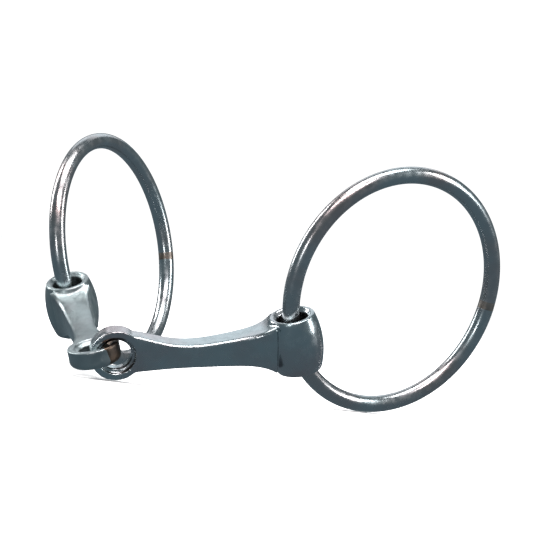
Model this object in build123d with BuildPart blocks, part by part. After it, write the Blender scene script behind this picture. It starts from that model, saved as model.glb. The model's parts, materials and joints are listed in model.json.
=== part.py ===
from build123d import *
from math import atan, cos, degrees, radians, sin, sqrt, tan
import os

# ---------------------------------------------------------------------------
# Loose-ring snaffle bit, single jointed.
# Two forged mouthpiece arms are linked eye through eye at the centre joint.
# The outer end of each arm is a barrel-shaped hub with a through hole, and a
# welded wire ring runs loose in that hole.
#
# Each arm has its own frame: the origin is at its centre eye, +X runs along
# the arm to the hub, and +Z is square to the arm, along the hub.
# Lengths are millimetres and angles are degrees.
# ---------------------------------------------------------------------------

# rings
ring_inner_diameter = 75.0
wire_diameter = 5.7
ring_gap = 0.3             # closest the wire comes to the hub's hole

# arms
arm_length = 59.3          # from the centre of the eye to the middle of the hub
waist_height = 8.2
waist_width = 8.0
waist_drop = 1.6           # the mouthpiece bows down between the eye and the hub
neck_height = 11.6         # where the arm begins to swell into the hub
neck_width = 10.4
crease_radius = 1.1        # corner rounding along the arm

# hubs
hub_height = 19.5
hub_end_diameter = 15.0
hub_belly_diameter = 18.4
hub_hole_diameter = 10.4
hub_mouth_radius = 0.9
hub_lean = 8.0             # the hub's top leans towards the joint

# eyes of the centre joint
eye_hole_diameter = 10.0
eye_wall = 3.6
eye_thickness = 6.4
eye_edge_radius = 2.0
eye_mouth_radius = 1.4
eye_pull = 0.9             # how far the left eye is drawn off the middle of the right eye's bar

# how the bit stands: heading is about +Z, pitch lifts the hub, roll turns about the arm
right_heading = 0.0
right_pitch = 10.7
right_roll = 17.0
left_heading = 95.9
left_pitch = 9.8
left_roll = -21.0

# how each ring stands in its hub
right_swing = 21.1         # about the hub's hole, 0 is straight out along the arm
right_slope = 7.0          # in the ring's own plane, taken up by the hole's play
right_lean = 1.5           # out of the ring's own plane, taken up by the hole's play
left_swing = -33.6
left_slope = 4.0
left_lean = -8.0

# the whole bit, set down on the ground
stand = Location((-59.0, -56.9, 7.8), (2.375, -0.967, 0))

# worked out
wire_radius = wire_diameter / 2
ring_radius = ring_inner_diameter / 2 + wire_radius
eye_radius = eye_hole_diameter / 2 + eye_wall
eye_hole_radius = eye_hole_diameter / 2
bar_middle = eye_hole_radius + eye_wall / 2
hub_hole_radius = hub_hole_diameter / 2
half_hub = hub_height / 2


def within(frame, plane):
    """A plane given in a frame's own coordinates."""
    return Plane(frame.location * plane.location)


def arm_frame(heading, pitch, roll, eye_distance):
    """The frame of an arm whose eye sits eye_distance from the joint's middle."""
    h = radians(heading)
    p = radians(pitch)
    along = Vector(cos(h) * cos(p), sin(h) * cos(p), sin(p))
    level = Vector(-sin(h), cos(h), 0)
    upright = along.cross(level)
    up = upright * cos(radians(roll)) - level * sin(radians(roll))
    return Plane(stand * Plane(origin=along * eye_distance, x_dir=along, z_dir=up).location)


def ring_frame(hub, swing, slope, lean):
    """The ring's frame: it hangs from the hub's hole with ring_gap left at the tightest mouth."""
    sagitta = ring_radius - sqrt(ring_radius**2 - half_hub**2)
    room = hub_hole_radius - wire_radius - ring_gap
    most = degrees(atan(0.8 * room / half_hub))
    lean = max(-most, min(most, lean))
    sideways = half_hub * tan(radians(abs(lean)))
    seat = sqrt(room**2 - sideways**2) - sagitta - half_hub * tan(radians(abs(slope)))
    outward = hub.location * Location((0, 0, 0), (0, 0, swing))
    tilted = outward * Location((seat, 0, 0)) * Location((0, 0, 0), (lean, -slope, 0))
    return Plane(tilted * Location((ring_radius, 0, 0), (-90, 0, 0)))


def bore_outline(radius, half, mouth):
    """Half section of a through hole with rounded mouths, to be spun about the sketch's Y."""
    over = half + 2.0
    with BuildLine() as outline:
        Polyline((0, -over), (0, over), (radius + mouth, over), (radius + mouth, half))
        RadiusArc((radius + mouth, half), (radius, half - mouth), mouth)
        Line((radius, half - mouth), (radius, mouth - half))
        RadiusArc((radius, mouth - half), (radius + mouth, -half), mouth)
        Polyline((radius + mouth, -half), (radius + mouth, -over), (0, -over))
    return outline.line


right_frame = arm_frame(right_heading, right_pitch, right_roll, bar_middle)
left_frame = arm_frame(left_heading, left_pitch, left_roll, eye_pull)
right_hub = Plane(right_frame.location * Location((arm_length, 0, 0), (0, -hub_lean, 0)))
left_hub = Plane(left_frame.location * Location((arm_length, 0, 0), (0, -hub_lean, 0)))

# the eyes' section planes: Y is the axis of the hole, X points away from the arm
right_eye = within(right_frame, Plane((0, 0, 0), (-1, 0, 0), (0, 0, -1)))
left_eye = within(left_frame, Plane((0, 0, 0), (-1, 0, 0), (0, 1, 0)))
right_circle = ring_frame(right_hub, right_swing, right_slope, right_lean)
left_circle = ring_frame(left_hub, left_swing, left_slope, left_lean)

# sections of an arm, eye end to hub: place along the arm, its middle in Z, width (Y), height (Z)
eye_root = eye_radius * 0.6
eye_chord = 2 * sqrt(eye_radius**2 - eye_root**2) - 0.6
right_root = (eye_root, 0, eye_thickness - 0.4, eye_chord)
left_root = (eye_root, 0, eye_chord, eye_thickness - 0.4)
right_throat = (eye_radius + 3.0, -0.35 * waist_drop, 0.93 * waist_width, 1.33 * waist_height)
left_throat = (eye_radius + 3.0, -0.35 * waist_drop, 1.25 * waist_width, 0.90 * waist_height)
shank = [
    (0.36 * arm_length, -waist_drop, waist_width, waist_height),
    (0.53 * arm_length, -waist_drop, 1.06 * waist_width, 1.03 * waist_height),
    (arm_length - 0.72 * hub_belly_diameter, -0.45 * waist_drop, neck_width, neck_height),
    (arm_length - 0.38 * hub_belly_diameter, 0, 0.80 * hub_belly_diameter, 0.86 * hub_height),
]

# ---- right arm: the hole of its eye lies across the arm --------------------------------
with BuildPart() as right_arm:
    for place, level, width, height in [right_root, right_throat] + shank:
        with BuildSketch(within(right_frame, Plane((place, 0, level), (0, 1, 0), (1, 0, 0)))):
            RectangleRounded(width, height, crease_radius)
    loft()
    # hub: a barrel with flat ends
    with BuildSketch(within(right_hub, Plane.XZ)):
        with BuildLine():
            Line((0, -half_hub), (hub_end_diameter / 2, -half_hub))
            ThreePointArc(
                (hub_end_diameter / 2, -half_hub),
                (hub_belly_diameter / 2, 0),
                (hub_end_diameter / 2, half_hub),
            )
            Polyline((hub_end_diameter / 2, half_hub), (0, half_hub), (0, -half_hub))
        make_face()
    revolve(axis=Axis(right_hub.origin, right_hub.z_dir))
    # eye: a disc with rounded edges
    with BuildSketch(right_eye):
        with Locations((eye_radius / 2, 0)):
            Rectangle(eye_radius, eye_thickness)
        fillet(vertices().sort_by(Axis(right_eye.origin, right_eye.x_dir))[-2:], eye_edge_radius)
    revolve(axis=Axis(right_eye.origin, right_eye.y_dir))
    # holes
    with BuildSketch(within(right_hub, Plane.XZ)):
        add(bore_outline(hub_hole_radius, half_hub, hub_mouth_radius))
        make_face()
    revolve(axis=Axis(right_hub.origin, right_hub.z_dir), mode=Mode.SUBTRACT)
    with BuildSketch(right_eye):
        add(bore_outline(eye_hole_radius, eye_thickness / 2, eye_mouth_radius))
        make_face()
    revolve(axis=Axis(right_eye.origin, right_eye.y_dir), mode=Mode.SUBTRACT)

# ---- left arm: the hole of its eye stands along the hub --------------------------------
with BuildPart() as left_arm:
    for place, level, width, height in [left_root, left_throat] + shank:
        with BuildSketch(within(left_frame, Plane((place, 0, level), (0, 1, 0), (1, 0, 0)))):
            RectangleRounded(width, height, crease_radius)
    loft()
    # hub: a barrel with flat ends
    with BuildSketch(within(left_hub, Plane.XZ)):
        with BuildLine():
            Line((0, -half_hub), (hub_end_diameter / 2, -half_hub))
            ThreePointArc(
                (hub_end_diameter / 2, -half_hub),
                (hub_belly_diameter / 2, 0),
                (hub_end_diameter / 2, half_hub),
            )
            Polyline((hub_end_diameter / 2, half_hub), (0, half_hub), (0, -half_hub))
        make_face()
    revolve(axis=Axis(left_hub.origin, left_hub.z_dir))
    # eye: a disc with rounded edges
    with BuildSketch(left_eye):
        with Locations((eye_radius / 2, 0)):
            Rectangle(eye_radius, eye_thickness)
        fillet(vertices().sort_by(Axis(left_eye.origin, left_eye.x_dir))[-2:], eye_edge_radius)
    revolve(axis=Axis(left_eye.origin, left_eye.y_dir))
    # holes
    with BuildSketch(within(left_hub, Plane.XZ)):
        add(bore_outline(hub_hole_radius, half_hub, hub_mouth_radius))
        make_face()
    revolve(axis=Axis(left_hub.origin, left_hub.z_dir), mode=Mode.SUBTRACT)
    with BuildSketch(left_eye):
        add(bore_outline(eye_hole_radius, eye_thickness / 2, eye_mouth_radius))
        make_face()
    revolve(axis=Axis(left_eye.origin, left_eye.y_dir), mode=Mode.SUBTRACT)

# ---- rings: one length of wire bent to a circle and butt welded ----------------------
with BuildPart() as right_ring:
    with BuildSketch(within(right_circle, Plane.XZ)):
        with Locations((ring_radius, 0)):
            Circle(wire_radius)
    revolve(axis=Axis(right_circle.origin, right_circle.z_dir))

with BuildPart() as left_ring:
    with BuildSketch(within(left_circle, Plane.XZ)):
        with Locations((ring_radius, 0)):
            Circle(wire_radius)
    revolve(axis=Axis(left_circle.origin, left_circle.z_dir))

right_arm.part.label = "right_arm"
left_arm.part.label = "left_arm"
right_ring.part.label = "right_ring"
left_ring.part.label = "left_ring"

os.makedirs("parts", exist_ok=True)
export_step(right_arm.part, "parts/right_arm.step")
export_step(left_arm.part, "parts/left_arm.step")
export_step(right_ring.part, "parts/right_ring.step")
export_step(left_ring.part, "parts/left_ring.step")
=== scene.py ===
# %% [markdown]
# # A loose-ring snaffle bit
# The model comes from the imported frame in metres. This first cell loads it and prints the names of its nodes.

# %% Load the frame
import bpy
import json
from math import radians
from mathutils import Matrix, Vector


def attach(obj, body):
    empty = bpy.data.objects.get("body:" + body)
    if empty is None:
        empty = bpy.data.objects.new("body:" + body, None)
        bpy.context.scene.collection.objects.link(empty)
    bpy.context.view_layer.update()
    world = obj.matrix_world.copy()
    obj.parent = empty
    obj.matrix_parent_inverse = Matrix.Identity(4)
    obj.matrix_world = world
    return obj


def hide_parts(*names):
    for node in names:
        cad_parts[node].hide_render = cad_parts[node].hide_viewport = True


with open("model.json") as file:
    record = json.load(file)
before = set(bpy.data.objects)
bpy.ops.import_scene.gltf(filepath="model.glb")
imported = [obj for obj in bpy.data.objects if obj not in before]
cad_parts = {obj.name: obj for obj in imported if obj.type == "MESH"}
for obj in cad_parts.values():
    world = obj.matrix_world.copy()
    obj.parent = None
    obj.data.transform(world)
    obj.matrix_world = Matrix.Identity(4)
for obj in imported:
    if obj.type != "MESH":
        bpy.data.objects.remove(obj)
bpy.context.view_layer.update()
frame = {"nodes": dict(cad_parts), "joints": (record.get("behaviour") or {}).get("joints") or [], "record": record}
MM = 0.001
print("nodes:", sorted(frame["nodes"]))

# %% [markdown]
# ## Small helpers
# Colours are written as the hex a person would pick on a screen, and shaders
# want linear light. `add` places one node, sets it up and links its inputs.

# %% Colour and node helpers
def colour(hexcode):
    """A screen colour such as "5a666c" as linear RGBA."""
    parts = [int(hexcode[i:i + 2], 16) / 255 for i in (0, 2, 4)]
    return [p / 12.92 if p < 0.04045 else ((p + 0.055) / 1.055) ** 2.4 for p in parts] + [1.0]


def add(tree, kind, settings=None, **inputs):
    """One node. Inputs are sockets to link from, or plain values."""
    made = tree.nodes.new(kind)
    for name, value in (settings or {}).items():
        setattr(made, name, value)
    for key, value in inputs.items():
        socket = made.inputs[int(key[1:]) if key[1:].isdigit() else key.replace("_", " ")]
        if isinstance(value, bpy.types.NodeSocket):
            tree.links.new(value, socket)
        else:
            socket.default_value = value
    return made


print("helpers ready")

# %% [markdown]
# ## Materials
# All the steel is bare metal: Metallic 1 and a colour for how it reflects.
# What makes it read as used steel is the roughness, which is not even, and the
# tint, which drifts between blue-grey and brown where heat or handling left it.
# Every texture reads Object coordinates, and scales are worked out from millimetres.

# %% Steel
def steel(name, base, tint, rough, smear, tint_mm, grain_mm, grain, pits=0.0):
    """Bare steel. smear widens the roughness, grain and pits are bump heights in mm."""
    material = bpy.data.materials.new(name)
    material.use_nodes = True
    tree = material.node_tree
    shader = tree.nodes["Principled BSDF"]
    shader.inputs["Metallic"].default_value = 1.0
    here = add(tree, "ShaderNodeTexCoord").outputs["Object"]
    broad = add(tree, "ShaderNodeTexNoise", Vector=here, Scale=1 / (tint_mm * MM), Detail=4.0)
    fine = add(tree, "ShaderNodeTexNoise", Vector=here, Scale=1 / (grain_mm * MM), Detail=5.0)
    spots = add(tree, "ShaderNodeTexNoise", Vector=here, Scale=1 / (2.6 * MM), Detail=3.0)
    share = add(tree, "ShaderNodeMapRange", Value=broad.outputs["Fac"], From_Min=0.42, From_Max=0.68)
    mixed = add(tree, "ShaderNodeMix", {"data_type": "RGBA"}, _0=share.outputs[0],
                _6=colour(base), _7=colour(tint))
    tree.links.new(mixed.outputs[2], shader.inputs["Base Color"])
    matt = add(tree, "ShaderNodeMapRange", Value=spots.outputs["Fac"], From_Min=0.38, From_Max=0.66,
               To_Min=rough, To_Max=rough + smear)
    tree.links.new(matt.outputs[0], shader.inputs["Roughness"])
    low = add(tree, "ShaderNodeMapRange", Value=spots.outputs["Fac"], From_Min=0.60, From_Max=0.74,
              To_Min=0.0, To_Max=-pits)
    high = add(tree, "ShaderNodeMath", {"operation": "MULTIPLY"}, _0=fine.outputs["Fac"], _1=grain)
    both = add(tree, "ShaderNodeMath", {"operation": "ADD"}, _0=high.outputs[0], _1=low.outputs[0])
    bump = add(tree, "ShaderNodeBump", Height=both.outputs[0], Distance=MM, Strength=1.0)
    tree.links.new(bump.outputs["Normal"], shader.inputs["Normal"])
    return material


wire_steel = steel("polished_steel_wire", "a2abae", "a69c9b", rough=0.22, smear=0.10,
                   tint_mm=22, grain_mm=0.7, grain=0.004)
weld_steel = steel("ground_weld_steel", "8d8680", "6f6258", rough=0.32, smear=0.18,
                   tint_mm=5, grain_mm=0.5, grain=0.03)
right_steel = steel("forged_steel_polished", "a3aeb1", "a49c9e", rough=0.20, smear=0.12,
                    tint_mm=16, grain_mm=1.3, grain=0.010, pits=0.01)
left_steel = steel("cast_steel_satin", "98a2a3", "8d9294", rough=0.32, smear=0.16,
                   tint_mm=9, grain_mm=1.1, grain=0.030, pits=0.06)
heat_steel = steel("heat_tinted_steel", "66564a", "4e4640", rough=0.34, smear=0.18,
                   tint_mm=4, grain_mm=0.6, grain=0.05)
print("materials:", [m.name for m in bpy.data.materials])

# %% [markdown]
# ## Rings
# A ring is a round wire swept round a circle, so Geometry Nodes makes it: a path
# circle, a profile circle, and Curve to Mesh. The tree's inputs are the two radii.
# Each ring's middle and tilt come from the straps' mounts in the record.

# %% The ring tree
def ring_tree():
    tree = bpy.data.node_groups.new("wire_ring", "GeometryNodeTree")
    face = tree.interface
    face.new_socket("Geometry", in_out="OUTPUT", socket_type="NodeSocketGeometry")
    for name in ("Ring Radius", "Wire Radius"):
        face.new_socket(name, in_out="INPUT", socket_type="NodeSocketFloat")
    face.new_socket("Steel", in_out="INPUT", socket_type="NodeSocketMaterial")
    given = tree.nodes.new("NodeGroupInput").outputs
    path = add(tree, "GeometryNodeCurvePrimitiveCircle", {"mode": "RADIUS"}, Resolution=360,
               Radius=given["Ring Radius"])
    profile = add(tree, "GeometryNodeCurvePrimitiveCircle", {"mode": "RADIUS"}, Resolution=56,
                  Radius=given["Wire Radius"])
    swept = add(tree, "GeometryNodeCurveToMesh", Curve=path.outputs["Curve"],
                Profile_Curve=profile.outputs["Curve"])
    smooth = add(tree, "GeometryNodeSetShadeSmooth", Geometry=swept.outputs["Mesh"])
    real = add(tree, "GeometryNodeRealizeInstances", Geometry=smooth.outputs[0])
    painted = add(tree, "GeometryNodeSetMaterial", Geometry=real.outputs[0], Material=given["Steel"])
    out = tree.nodes.new("NodeGroupOutput")
    tree.links.new(painted.outputs[0], out.inputs[0])
    return tree


def identifiers(tree):
    return {s.name: s.identifier for s in tree.interface.items_tree if s.in_out == "INPUT"}


tree = ring_tree()
mounts = {m["name"]: m for m in frame["record"]["mounts"]}
WIRE_RADIUS = 5.7 * MM / 2
RING_RADIUS = 75.0 * MM / 2 + WIRE_RADIUS      # to the middle of the wire
WELD_HALF_LENGTH = 1.1 * MM
for side in ("right", "left"):
    mount = mounts[side + "_ring_straps"]
    blank = bpy.data.objects.new(side + "_ring_blank", bpy.data.meshes.new("blank"))
    bpy.context.collection.objects.link(blank)
    modifier = blank.modifiers.new("ring", "NODES")
    modifier.node_group = tree
    for name, value in (("Ring Radius", RING_RADIUS), ("Wire Radius", WIRE_RADIUS),
                        ("Steel", wire_steel)):
        modifier[identifiers(tree)[name]] = value
    bpy.context.view_layer.update()
    ready = blank.evaluated_get(bpy.context.evaluated_depsgraph_get())
    mesh = bpy.data.meshes.new_from_object(ready)
    bpy.data.objects.remove(blank)
    # the weld: a short stretch of the wire on the side away from the hub
    mesh.materials.append(weld_steel)
    for face in mesh.polygons:
        if face.center.x < 0 and abs(face.center.y) < WELD_HALF_LENGTH:
            face.material_index = 1
    normal = Vector(mount["axis"]).normalized()
    turn = normal.to_track_quat("Z", "Y").to_matrix().to_4x4()
    mesh.transform(Matrix.Translation(mount["pos_m"]) @ turn)
    ring = bpy.data.objects.new(side + "_loose_ring", mesh)
    bpy.context.collection.objects.link(ring)
    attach(ring, side + "_ring")
    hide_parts(side + "_ring")
    print(ring.name, "faces:", len(mesh.polygons), "materials:", [m.name for m in mesh.materials])

# %% [markdown]
# ## Arms
# The arms keep the exact shape of their nodes, which are copied and closed up by
# merging doubles. A fine voxel remesh and a few rounds of smoothing then soften
# the joins between shank, hub and eye, as forging and tumbling do.

# %% Softened arms
joints = {j["name"]: j for j in frame["joints"]}
JOINT = Vector(joints["centre_fold"]["pos_m"])
VOXEL = 0.30 * MM
MERGE = 0.002 * MM


def soften(node, name, rounds):
    piece = bpy.data.objects.new(name, frame["nodes"][node].data.copy())
    bpy.context.collection.objects.link(piece)
    piece.data.materials.clear()
    weld = piece.modifiers.new("weld", "WELD")
    weld.merge_threshold = MERGE
    remesh = piece.modifiers.new("remesh", "REMESH")
    remesh.mode = "VOXEL"
    remesh.voxel_size = VOXEL
    smooth = piece.modifiers.new("smooth", "SMOOTH")
    smooth.factor = 0.5
    smooth.iterations = rounds
    bpy.context.view_layer.update()
    ready = piece.evaluated_get(bpy.context.evaluated_depsgraph_get())
    piece.data = bpy.data.meshes.new_from_object(ready)
    piece.modifiers.clear()
    piece.data.shade_smooth()
    return piece


# the right arm runs from the joint to its hub, and its eye's hole lies across it
RIGHT_ALONG = (Vector(joints["right_ring_swing"]["pos_m"]) - JOINT).normalized()
EYE_ACROSS = RIGHT_ALONG.cross(Vector(joints["centre_fold"]["axis"]))
EYE_MIDDLE = JOINT + RIGHT_ALONG * 6.8 * MM
LOOP_HEAT = 5.9 * MM           # how far from the right eye's middle the left loop is tinted
LOOP_DEPTH = 6.4 * MM          # and how far to each side of it
LOOP_START = -4.2 * MM         # where along the right arm that stretch begins
EYE_HEAT = 5.5 * MM            # the wall of the right eye's hole
EYE_HEAT_END = 1.5 * MM
for side, steel_of, rounds in (("right", right_steel, 14), ("left", left_steel, 12)):
    arm = soften(side + "_arm", side + "_forged_arm", rounds)
    arm.data.materials.append(steel_of)
    arm.data.materials.append(heat_steel)
    # heat-tinted steel where one eye lies inside the other and nothing can polish it
    count = 0
    for face in arm.data.polygons:
        off = face.center - EYE_MIDDLE
        deep = abs(off.dot(EYE_ACROSS))
        along = off.dot(RIGHT_ALONG)
        radius = (off - EYE_ACROSS * off.dot(EYE_ACROSS)).length
        if side == "left" and radius < LOOP_HEAT and deep < LOOP_DEPTH and along > LOOP_START:
            face.material_index = 1
            count += 1
        if side == "right" and radius < EYE_HEAT and off.z > 0 and along < EYE_HEAT_END:
            face.material_index = 1
            count += 1
    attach(arm, side + "_arm")
    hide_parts(side + "_arm")
    print(arm.name, "faces:", len(arm.data.polygons), "heat-tinted:", count)

# %% [markdown]
# ## Ground, light and camera
# The floor is plain white, with the bit's shadow on it. Polished steel shows what
# is round it, so glossy rays see a darker floor and a dim blue-grey room, and the
# bright streaks are the softboxes.

# %% Floor and world
bpy.ops.mesh.primitive_plane_add(size=12, location=(0, 0, -0.0002))
floor = bpy.context.object
floor.name = "floor"
paper = bpy.data.materials.new("white_paper")
paper.use_nodes = True
nodes = paper.node_tree
nodes.nodes["Principled BSDF"].inputs["Base Color"].default_value = colour("ffffff")
nodes.nodes["Principled BSDF"].inputs["Roughness"].default_value = 1.0
dark = add(nodes, "ShaderNodeEmission", Color=colour("6c7c85"), Strength=1.0)
rays = add(nodes, "ShaderNodeLightPath")
pick = add(nodes, "ShaderNodeMixShader", _0=rays.outputs["Is Glossy Ray"],
           _1=nodes.nodes["Principled BSDF"].outputs[0], _2=dark.outputs[0])
nodes.links.new(pick.outputs[0], nodes.nodes["Material Output"].inputs["Surface"])
floor.data.materials.append(paper)

world = bpy.data.worlds.new("studio")
bpy.context.scene.world = world
world.use_nodes = True
sky = world.node_tree
rays = add(sky, "ShaderNodeLightPath")
room = add(sky, "ShaderNodeBackground", Color=colour("78878d"), Strength=0.8)
white = add(sky, "ShaderNodeBackground", Color=colour("ffffff"), Strength=1.1)
pick = add(sky, "ShaderNodeMixShader", _0=rays.outputs["Is Glossy Ray"],
           _1=white.outputs[0], _2=room.outputs[0])
sky.links.new(pick.outputs[0], sky.nodes["World Output"].inputs["Surface"])
print("floor and world ready")

# %% Softboxes
def softbox(name, place, size, power, tint="ffffff"):
    data = bpy.data.lights.new(name, "AREA")
    data.shape = "RECTANGLE"
    data.size, data.size_y = size
    data.energy = power
    data.color = colour(tint)[:3]
    lamp = bpy.data.objects.new(name, data)
    bpy.context.collection.objects.link(lamp)
    lamp.location = place
    lamp.rotation_euler = (Vector((0, 0, 0.03)) - Vector(place)).to_track_quat("-Z", "Y").to_euler()
    return lamp


softbox("overhead", (0.0, -0.15, 1.1), (0.9, 0.35), 11)
softbox("high_back", (0.1, 1.0, 0.95), (1.3, 0.6), 3.6, "eef0f4")
softbox("front_strip", (-0.15, -0.75, 0.95), (0.9, 0.16), 9, "fff2f2")
softbox("front_window", (-0.5, -0.9, 0.12), (0.10, 0.12), 1.2)
softbox("right_strip", (0.9, -0.25, 0.45), (0.12, 0.6), 5)
softbox("back_left_strip", (-0.8, 0.45, 0.5), (0.15, 0.7), 6)

# %% Camera
lens = bpy.data.cameras.new("camera")
lens.lens = 130.5
lens.sensor_width = 36.0
lens.clip_start = 0.01
camera = bpy.data.objects.new("camera", lens)
bpy.context.collection.objects.link(camera)
camera.location = (-0.10608, -0.7053, 0.04609)
camera.rotation_euler = [radians(a) for a in (89.625, -8.531, -8.869)]
bpy.context.scene.camera = camera
bpy.context.scene.view_settings.view_transform = "Standard"
print("camera at", tuple(camera.location))
